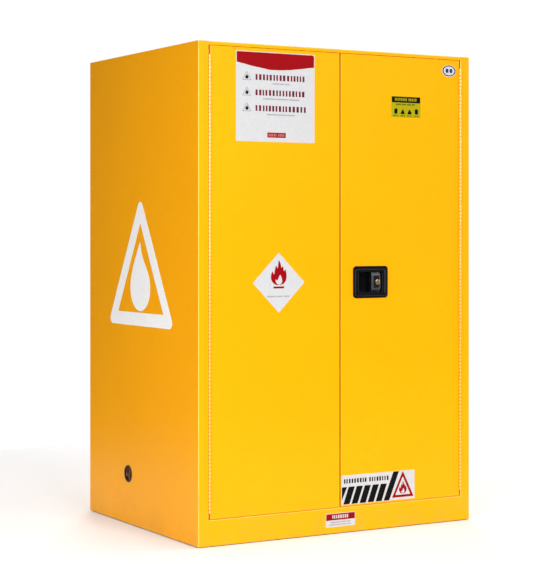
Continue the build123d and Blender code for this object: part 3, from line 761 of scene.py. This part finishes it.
class CABINET_OT_lock(bpy.types.Operator):
    """Make the lock plate with its hand recess, the paddle and the key cylinder"""

    bl_idname = "cabinet.lock"
    bl_label = "Paddle lock"

    def execute(self, context):
        self.choice = context.scene.cabinet_lock
        black = lock_black("lock_coat")
        wear(["paddle_housing", "paddle"], black)
        wear(["housing_gasket"], rubber("gasket_rubber"))
        wear(["key_cylinder"], brass("key_brass", KEY_BRASS, 0.35))
        plate = piece("lock_plate", self.plate(), black, "right_door", "lock_black", 40)
        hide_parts("paddle_housing")
        # Pale bluish grey on the paddle's raised front: a painted highlight, also standing for hand
        # wear
        worn_and_highlighted = lock_black("paddle_coat", (0.002, 0.0025, 0.0035), 0.5, (0.12, 0.13, 0.16),
                          paddle_front)
        lever = piece("lock_paddle", self.lever(), worn_and_highlighted, "paddle", "lock_black", 40)
        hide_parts("paddle")
        turned = self.plug()
        metal = brass("plug_brass", KEY_BRASS, 0.35)
        plug = piece("key_plug", turned, metal, "key", "key_brass", 30)
        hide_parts("key_cylinder")
        return {"FINISHED"}

    def plate(self):
        """Plate with a rounded edge and a groove, round a hand recess with a rolled lip."""
        choice = self.choice
        low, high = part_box("paddle_housing")
        x, z, wide, tall = front_view("paddle_housing")
        front = low.y
        back = front + choice.plate_thick
        edge, lip = choice.plate_edge, choice.lip
        rings = []

        def outer(y, inset, corner):
            rings.append(front_ring(x, z, wide - 2 * inset, tall - 2 * inset, corner, y))

        def hole(y, inset, corner, slope=0.0):
            size = (choice.recess_wide - 2 * inset, choice.recess_high - 2 * inset)
            middle = x + choice.recess_shift
            rings.append([(middle + a + (slope if a < 0 else 0), y, z + b)
                          for a, b in rounded_loop(*size, corner)])

        hole(high.y, -choice.tub_wall, TUB_CORNER)
        hole(back, -choice.tub_wall, TUB_CORNER)
        outer(back, 0, PLATE_CORNER)
        for angle in QUARTER_TURN:
            inset = edge * (1 - math.cos(angle))
            outer(front + edge * (1 - math.sin(angle)), inset, PLATE_CORNER - inset)
        for depth, inset, corner in PLATE_GROOVE:
            outer(front + depth, inset, corner)
        for angle in reversed(QUARTER_TURN):
            out = lip * (1 - math.cos(angle))
            hole(front + lip * (1 - math.sin(angle)), -out, RECESS_CORNER + out)
        floor = front + choice.recess_deep
        for over, inset, corner, slope in RECESS_FLOOR:
            hole(floor - over, inset, corner, slope)
        bm = bmesh.new()
        skin_loops(bm, rings)
        return mesh_from("lock_plate", bm)

    def sunk(self, u, v, wide, tall):
        """How far the paddle's front lies back, from its lower left corner."""
        choice = self.choice
        nose, rim, foot = choice.nose, choice.rim, choice.field_low
        top = foot + choice.field_high
        sunk = 0.0
        over = u - (wide - nose)
        if over > 0:
            sunk = nose - math.sqrt(max(0.0, nose * nose - over * over))
        ends = ((u, PADDLE_SIDE_ROUND), (v, PADDLE_END_ROUND), (tall - v, PADDLE_END_ROUND))
        for near, radius in ends:
            if near < radius:
                sunk = max(sunk, radius - math.sqrt(radius**2 - (radius - near) ** 2))
        if v > top + TOP_START:
            sunk += TOP_LEAN * (v - top - TOP_START) / (tall - top - TOP_START)
        if v < foot - RIDGE_FOOT:
            sunk += RIDGE_STEP
        elif v < foot - RIDGE_TOP:
            sunk += RIDGE_STEP * (foot - RIDGE_TOP - v) / RIDGE_SLOPE
        inset = min(u - rim, rim + choice.field_wide - u, v - foot, top - v)
        if inset > 0:
            sunk = max(sunk, min(1.0, inset / FIELD_SLOPE) * choice.field_deep)
        return sunk

    def lever(self):
        """Paddle: round nose over its pin, sunk field, sloped top and a ridge near its foot."""
        low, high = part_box("paddle")
        wide, tall = high.x - low.x, high.z - low.z
        back = high.y
        bm = bmesh.new()

        def front_point(u, v):
            y = min(low.y + self.sunk(u, v, wide, tall), back - PADDLE_THIN)
            return bm.verts.new((low.x + u, y, low.z + v))

        columns, rows = (spaced(side, n) for side, n in zip((wide, tall), PADDLE_GRID))
        grid = [[front_point(u, v) for v in rows] for u in columns]
        for left, right in zip(grid, grid[1:]):
            for i in range(len(left) - 1):
                bm.faces.new((left[i], right[i], right[i + 1], left[i + 1]))
        rim = [column[0] for column in grid] + grid[-1][1:]
        rim += [column[-1] for column in grid[-2::-1]] + grid[0][-2:0:-1]
        behind = [bm.verts.new((v.co.x, back, v.co.z)) for v in rim]
        quads(bm, rim, behind)
        bm.faces.new(behind)
        return mesh_from("lock_paddle", bm)

    def plug(self):
        """Key cylinder: turned body, stepped face and a keyway."""
        low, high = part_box("key_cylinder")
        x, z, wide, _ = front_view("key_cylinder")
        r = wide / 2
        long = high.y - low.y
        profile = [
            (r * 0.9, long), (r, long - 0.001), (r, 0.0009), (r - 0.0003, 0.0003),
            (r - 0.0009, 0.0), (r * 0.80, 0.0), (r * 0.78, 0.0004), (r * 0.72, 0.0004),
            (r * 0.70, 0.0), (r * 0.35, 0.0),
        ]
        body = lathe("key_plug", (x, low.y, z), "Y", profile, 64)
        loop = rounded_loop(KEYWAY_WIDE, r * 1.1, 0.0008, 3, 1)
        ends = (low.y + KEYWAY_DEEP, low.y - 0.002)
        bm = bmesh.new()
        skin_loops(bm, [[(x + a, y, z + b) for a, b in loop] for y in ends])
        return cut(body, mesh_from("keyway", bm))


# Bung: (inset, depth) from the floor of its cup out over its rolled rim, then (depth, inset)
# over the rounded front of its grip
BUNG_CUP = ((0.0068, 0.009), (0.0058, 0.0088), (0.0052, 0.0082), (0.0050, 0.0014),
            (0.0047, 0.0006), (0.0040, 0.0), (0.0012, 0.0), (0.0003, 0.0004), (0, 0.0012))
BUNG_GRIP = ((0.0022, 0.0), (0.0012, 0.0004), (0.0006, 0.0014))
CUP_WALL = 0.0045
GRIP_WIDE = 0.007


class CABINET_OT_vents(bpy.types.Operator):
    """Finish the vent collars and make their bungs"""

    bl_idname = "cabinet.vents"
    bl_label = "Vents"

    def execute(self, context):
        # Near-black brown collars: painted shade of the dark rim round each vent
        wear(["vent_collars"], lock_black("collar_painted_shade", (0.022, 0.004, 0.002)))
        wear(["flame_arresters"], plated_steel("arrester_steel", (0.4, 0.4, 0.42)))
        bronze = brass("bung_bronze", (0.30, 0.17, 0.09), 0.7)
        for hand, inward in (("left", 1), ("right", -1)):
            node = f"vent_bung_{hand}"
            wear([node], bronze)
            bung = piece(f"bung_cup_{hand}", self.cup(node, inward), bronze, node, "bung", 35)
            grip = piece(f"bung_grip_{hand}", self.grip(node, inward), bronze, node, "bung", 35)
            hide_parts(node)
            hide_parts(node)
        return {"FINISHED"}

    def measure(self, node, inward):
        """Middle of a bung's outer face, its radius and its length."""
        low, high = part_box(node)
        face = low.x if inward > 0 else high.x
        middle = (face, (low.y + high.y) / 2, (low.z + high.z) / 2)
        return middle, (high.z - low.z) / 2, high.x - low.x

    def cup(self, node, inward):
        """Turned cup with a rounded rim."""
        centre, r, long = self.measure(node, inward)
        profile = [(r - inset, depth) for inset, depth in BUNG_CUP]
        profile += [(r, long - 0.001), (r - 0.001, long)]
        return lathe(node, centre, "X", [(radius, along * inward) for radius, along in profile], 72)

    def grip(self, node, inward):
        """Rounded bar across the cup."""
        (x, y, z), r, long = self.measure(node, inward)
        rings = []
        for depth, inset in ((long - 0.004, 0.0), *BUNG_GRIP):
            loop = rounded_loop(GRIP_WIDE - 2 * inset, 2 * (r - CUP_WALL), 0.0008)
            rings.append([(x + depth * inward, y + a, z + b) for a, b in loop])
        bm = bmesh.new()
        skin_loops(bm, rings)
        return mesh_from(node + "_grip", bm)


# Door linings: (inset, rise) across a seal and shares of (slope, rise) up a pressed side, then
# places and sizes of the ribs and of the lock cover with its screws
SEAL_PROFILE = ((0, 0), (0.0004, 0.0009), (0.002, 0.0014), (0.008, 0.0014), (0.0096, 0.0009),
                (0.010, 0))
PRESSED_SIDE = ((0.0, 0.0), (0.08, 0.04), (0.30, 0.22), (0.70, 0.78), (0.90, 0.96), (1.0, 1.0))
SEAL_MARGIN = 0.012
RIB_HEIGHTS = (0.17, 0.34, 0.66, 0.83)
RIB_SHIFT = 0.035
RIB_SIZE = (0.30, 0.062)
RIB_RISE = 0.008
COVER_SHIFT = 0.006
COVER_SIZE = (0.19, 0.26)
COVER_RISE = 0.004
SCREW_SPREAD = (0.083, 0.118)
SCREW_HEAD = ((0.0045, 0.0), (0.0044, 0.0008), (0.0036, 0.0018), (0.0022, 0.0024),
              (0.0008, 0.0027))


class CABINET_OT_linings(bpy.types.Operator):
    """Make the seals, pressed ribs and lock cover on the inner faces of the doors"""

    bl_idname = "cabinet.linings"
    bl_label = "Door linings"

    def execute(self, context):
        coat = powder_coat("lining_coat", tuple(context.scene.cabinet_paint.inside), pale=0.1)
        seal = rubber("seal_rubber")
        for hand, away in (("left", -1), ("right", 1)):
            body = f"{hand}_door"
            low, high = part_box(f"{hand}_door_inner")
            x, z, wide, tall = front_view(f"{hand}_door_inner")
            size = (wide - SEAL_MARGIN, tall - SEAL_MARGIN)
            strip = self.strip(f"seal_{hand}", x, z, *size, high.y)
            piece(f"door_seal_{hand}", strip, seal, body, "gasket")
            for i, share in enumerate(RIB_HEIGHTS):
                middle = (x + RIB_SHIFT * away, low.z + share * tall)
                rib = self.pad(f"rib_{hand}_{i}", *middle, *RIB_SIZE, high.y, RIB_RISE)
                piece(f"door_rib_{hand}_{i}", rib, coat, body, "liner_paint", 30)
        self.cover(coat)
        return {"FINISHED"}

    def cover(self, coat):
        """Cover behind the lock, with a screw near each corner."""
        x, z, _, _ = front_view("paddle_housing")
        x += COVER_SHIFT
        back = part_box("right_door_inner")[1].y
        cover = self.pad("lock_cover", x, z, *COVER_SIZE, back, COVER_RISE, 0.0035)
        piece("lock_cover", cover, coat, "right_door", "liner_paint", 30)
        bm = bmesh.new()
        for i in (-1, 1):
            for j in (-1, 1):
                middle = (x + i * SCREW_SPREAD[0], back + COVER_RISE, z + j * SCREW_SPREAD[1])
                skin_loops(bm, [lathe_ring(middle, "Y", r, a, 24) for r, a in SCREW_HEAD])
        screws = mesh_from("cover_screws", bm)
        piece("cover_screws", screws, plated_steel("screw_steel"), "right_door", "steel", 40)

    def strip(self, name, x, z, wide, tall, y):
        """Seal strip round a door, with a round back."""
        bm = bmesh.new()
        skin_hoop(bm, [front_ring(x, z, wide - 2 * inset, tall - 2 * inset, 0.006, y + rise)
                       for inset, rise in SEAL_PROFILE])
        return mesh_from(name, bm)

    def pad(self, name, x, z, wide, tall, y, rise, slope=0.012):
        """Raised pressing with sloped sides and soft edges."""
        rings = []
        for share, lift in PRESSED_SIDE:
            size = (wide - 2 * (slope * share), tall - 2 * (slope * share))
            rings.append(front_ring(x, z, *size, 0.012, y + rise * lift))
        bm = bmesh.new()
        skin_loops(bm, rings)
        return mesh_from(name, bm)


# Square notice, row by row: how far its foot is below the top edge, and where its small words
# start and end
HAZARD_ROWS = ((0.096, 0.139, 0.205), (0.147, 0.103, 0.243), (0.199, 0.119, 0.226))


class CABINET_OT_stickers(bpy.types.Operator):
    """Make the stickers and their blank artwork"""

    bl_idname = "cabinet.stickers"
    bl_label = "Stickers"

    def execute(self, context):
        choice = context.scene.cabinet_print
        self.paper = vinyl("sticker_paper", tuple(choice.paper))
        self.red = vinyl("red_ink", tuple(choice.red))
        self.dark_red = vinyl("dark_red_ink", (0.13, 0.012, 0.03))
        self.pale_red = vinyl("pale_red_ink", (0.45, 0.16, 0.16))
        self.black = vinyl("black_ink", tuple(choice.black))
        self.grey = vinyl("grey_ink", (0.22, 0.21, 0.23))
        self.green = vinyl("green_paper", tuple(choice.green))
        wear(["label_hazard", "label_diamond", "label_goods", "label_sill"], self.paper)
        wear(["label_rating"], self.green)
        wear(["label_oval"], vinyl("oval_paper", tuple(choice.paper)))
        wear(["side_emblem"], vinyl("emblem_white", (0.88, 0.88, 0.87)))
        self.hazard()
        self.diamond()
        self.goods()
        self.sill()
        self.rating()
        self.oval(tuple(choice.blue))
        return {"FINISHED"}

    def hazard(self):
        """Square notice: red header, three rows with a pictogram, small red box."""
        red = Artwork("label_hazard")
        w, h = red.wide, red.high
        margin = 0.0025
        arc = [(margin, 0.037), (w * 0.20, 0.0485), (w * 0.43, 0.059), (w * 0.56, 0.0585),
               (w * 0.68, 0.056), (w * 0.86, 0.049), (w - margin, 0.043)]
        corner = [(w - margin - 0.006 * (1 - math.cos(a)), margin + 0.006 * (1 - math.sin(a)))
                  for a in (math.radians(15 * i) for i in range(7))]
        red.shape([(u, h - v) for u, v in [*arc, *corner, (margin, margin)]])
        red.bar(0.119, h - 0.284, 0.071, 0.017)
        red.done("hazard_header", self.red)
        box = Artwork("label_hazard", 1)
        box.words(0.124, h - 0.280, 0.061, 0.009, 17, 2)
        box.done("hazard_box_words", self.pale_red)
        text, small, signs, flames = (Artwork("label_hazard") for _ in range(4))
        sign_middle = 0.041
        sign = triangle(0.034, 0.03)
        for row, (foot, start, end) in enumerate(HAZARD_ROWS):
            v = h - foot
            text.words(0.074, v + 0.002, 0.196, 0.019, 11 + row, 1)
            small.words(start, v - 0.011, end - start, 0.0045, 21 + row, 3)
            signs.ring(scaled(sign, sign_middle, v, 1), scaled(sign, sign_middle, v + 0.0017, 0.84))
            flames.flame(sign_middle, v + 0.0045, 0.015)
        text.done("hazard_words", self.dark_red)
        small.done("hazard_small_words", self.grey)
        signs.done("hazard_signs", self.grey)
        flames.done("hazard_flames", self.black)

    def diamond(self):
        """Diamond: flame over a base line, and a line of small marks."""
        red = Artwork("label_diamond")
        w, h = red.wide, red.high
        size = 0.075
        foot = h - 0.025 - size * 1.1
        red.flame(w / 2, foot, size)
        red.bar(w / 2 - 0.0205, foot - 0.0115, 0.041, 0.0065, 0.001)
        red.done("diamond_flame", self.red)
        heart = Artwork("label_diamond", 1)
        heart.flame(w / 2, foot + 0.0005, size, FLAME_HEART)
        heart.done("diamond_flame_heart", self.paper)
        text = Artwork("label_diamond")
        text.words(w / 2 - 0.044, h / 2 - 0.048, 0.088, 0.0048, 31, 3)
        text.done("diamond_words", self.grey)

    def goods(self):
        """Wide notice: slanted stripes, one long slanted bar, warning triangle with a flame."""
        black = Artwork("label_goods")
        h = black.high
        margin = 0.001
        top = h * 0.60
        pitch, broad, lean = 0.033, 0.025, 0.37
        for i in range(5):
            black.slanted(0.007 + pitch * i, margin, top, broad, lean * (top - margin))
        black.shape([(margin, margin + 0.014), (0.0225, top), (margin, top)])
        broad, lean = 0.0235, 0.42
        black.slanted(0.172, margin, h - margin, broad, lean * (h - 2 * margin))
        black.done("goods_stripes", self.black)
        text = Artwork("label_goods")
        text.words(0.010, 0.072, 0.185, 0.015, 41, 2)
        text.done("goods_words", self.black)
        red = Artwork("label_goods")
        middle, size = 0.2525, 0.039
        sign = triangle(0.0905, 0.02, 1.0)
        red.ring(scaled(sign, middle, 0.008, 1), scaled(sign, middle, 0.0164, 0.70))
        red.flame(middle, 0.0205, size)
        red.done("goods_sign", self.red)
        heart = Artwork("label_goods", 1)
        heart.flame(middle, 0.021, size, FLAME_HEART)
        heart.done("goods_flame_heart", self.paper)

    def sill(self):
        """Small notice on the sill: red half over a white half."""
        red = Artwork("label_sill")
        w, h = red.wide, red.high
        margin = 0.012 * w
        red.bar(margin, h * 0.5, w - 2 * margin, h * 0.5 - margin)
        red.done("sill_header", self.red)
        pale = Artwork("label_sill", 1)
        pale.words(w * 0.22, h * 0.62, w * 0.58, h * 0.25, 51, 1)
        pale.done("sill_header_words", self.paper)
        text = Artwork("label_sill")
        text.words(w * 0.16, h * 0.30, w * 0.68, h * 0.09, 52, 4)
        text.words(w * 0.12, h * 0.12, w * 0.74, h * 0.09, 53, 4)
        text.done("sill_words", self.grey)

    def rating(self):
        """Small yellow-green notice: black header and four pictograms."""
        black = Artwork("label_rating")
        w, h = black.wide, black.high
        black.bar(0.002, h * 0.70, w - 0.004, h * 0.30 - 0.002)
        foot, size = h * 0.16, h * 0.26
        for i in range(4):
            u = w * (0.15 + 0.235 * i)
            if i in (0, 3):
                black.bar(u - size * 0.35, foot, size * 0.7, size, size * 0.3)
            else:
                black.shape(scaled(triangle(size * 1.1), u, foot, 1))
            black.words(u - size * 0.5, h * 0.06, size, h * 0.05, 61 + i, 2)
        black.words(w * 0.16, h * 0.58, w * 0.66, h * 0.07, 65, 4)
        black.done("rating_black", self.black)
        pale = Artwork("label_rating", 1)
        pale.words(w * 0.12, h * 0.78, w * 0.76, h * 0.13, 66, 2)
        pale.done("rating_header_words", self.green)

    def oval(self, colour):
        """Small oval with a plain ring and two dots."""
        blue = Artwork("label_oval")
        w, h = blue.wide, blue.high
        circle = [(math.cos(i * math.pi / 20), math.sin(i * math.pi / 20)) for i in range(40)]
        outer = [(w / 2 + a * w * 0.47, h / 2 + b * h * 0.46) for a, b in circle]
        inner = [(w / 2 + a * w * 0.40, h / 2 + b * h * 0.38) for a, b in circle]
        blue.ring(outer, inner)
        for left in (0.26, 0.54):
            blue.bar(w * left, h * 0.32, w * 0.20, h * 0.36, h * 0.12)
        blue.done("oval_ring", vinyl("blue_ink", colour))


class CABINET_OT_stage(bpy.types.Operator):
    """Make the floor, the lights and the camera"""

    bl_idname = "cabinet.stage"
    bl_label = "Stage"

    def execute(self, context):
        choice = context.scene.cabinet_stage
        self.floor(choice)
        self.lights(context.scene)
        self.camera(context.scene, choice)
        return {"FINISHED"}

    def floor(self, choice):
        """Round pale floor, no wider than its soft white edge needs."""
        bm = bmesh.new()
        bmesh.ops.create_circle(bm, cap_ends=True, segments=96, radius=choice.floor_radius)
        floor = put("studio_floor", mesh_from("studio_floor", bm))
        floor.data.materials.append(studio_floor("studio_floor", tuple(choice.floor)))

    def lights(self, scene):
        """White surround, the soft panels, and a lamp straight above that whitens the floor."""
        self.surround(scene)
        for name, (spot, target, size, power) in PANELS.items():
            self.panel(name, spot, target, size, power)
        lamp = bpy.data.lights.new("floor_light", "SUN")
        lamp.energy = FLOOR_POWER
        lamp.angle = FLOOR_LIGHT_ANGLE
        put("floor_light", lamp)
        scene.view_settings.view_transform = "Standard"

    def surround(self, scene):
        """A plain white surround that lights the cabinet only softly."""
        scene.world = bpy.data.worlds.new("studio")
        scene.world.use_nodes = True
        tree = scene.world.node_tree
        tree.nodes.clear()
        soft = tree.nodes.new("ShaderNodeBackground")
        soft.inputs["Color"].default_value = WHITE
        soft.inputs["Strength"].default_value = SURROUND_POWER
        seen = tree.nodes.new("ShaderNodeBackground")
        seen.inputs["Color"].default_value = WHITE
        path = tree.nodes.new("ShaderNodeLightPath")
        mix = tree.nodes.new("ShaderNodeMixShader")
        out = tree.nodes.new("ShaderNodeOutputWorld")
        tree.links.new(path.outputs["Is Camera Ray"], mix.inputs[0])
        tree.links.new(soft.outputs[0], mix.inputs[1])
        tree.links.new(seen.outputs[0], mix.inputs[2])
        tree.links.new(mix.outputs[0], out.inputs[0])

    def panel(self, name, spot, target, size, power):
        """Soft rectangular light at a spot, facing a target."""
        light = bpy.data.lights.new(name, "AREA")
        light.shape = "RECTANGLE"
        light.size, light.size_y = size
        light.energy = power
        obj = put(name, light)
        obj.location = spot
        toward = Vector(target) - Vector(spot)
        obj.rotation_euler = toward.to_track_quat("-Z", "Y").to_euler()

    def camera(self, scene, choice):
        """Level camera on a circle round the cabinet, framed by its lens shift."""
        camera = bpy.data.cameras.new("camera")
        camera.sensor_fit = "HORIZONTAL"
        camera.sensor_width = 36.0
        camera.lens = choice.lens * MM_IN_METRE
        camera.shift_x = choice.shift_x
        camera.shift_y = choice.shift_y
        camera.clip_end = 100.0
        away = Vector((-math.sin(choice.azimuth), -math.cos(choice.azimuth), 0))
        scene.camera = put("camera", camera)
        scene.camera.location = away * choice.distance + Vector((0, 0, choice.eye))
        scene.camera.rotation_euler = (math.pi / 2, 0, -choice.azimuth)


OPERATORS = (CABINET_OT_paint, CABINET_OT_fittings, CABINET_OT_lock, CABINET_OT_vents,
             CABINET_OT_linings, CABINET_OT_stickers, CABINET_OT_stage)


class CABINET_PT_panel(bpy.types.Panel):
    """Shows the cabinet's settings and the buttons that make its pieces"""

    bl_idname = "CABINET_PT_panel"
    bl_label = "Cabinet"
    bl_space_type = "VIEW_3D"
    bl_region_type = "UI"
    bl_category = "Cabinet"

    def draw(self, context):
        for name, group in GROUPS.items():
            box = self.layout.box()
            for key in group.__annotations__:
                box.prop(getattr(context.scene, name), key)
        for operator in OPERATORS:
            self.layout.operator(operator.bl_idname)


def register():
    """Classes and their settings on the scene."""
    for cls in (*GROUPS.values(), *OPERATORS, CABINET_PT_panel):
        bpy.utils.register_class(cls)
    for name, group in GROUPS.items():
        setattr(bpy.types.Scene, name, bpy.props.PointerProperty(type=group))


def unregister():
    """Takes the settings and classes away again."""
    for name in GROUPS:
        delattr(bpy.types.Scene, name)
    for cls in reversed((*GROUPS.values(), *OPERATORS, CABINET_PT_panel)):
        bpy.utils.unregister_class(cls)


def main():
    """Makes every piece."""
    register()
    for operator in OPERATORS:
        group, name = operator.bl_idname.split(".")
        getattr(getattr(bpy.ops, group), name)()


if __name__ == "__main__":
    main()
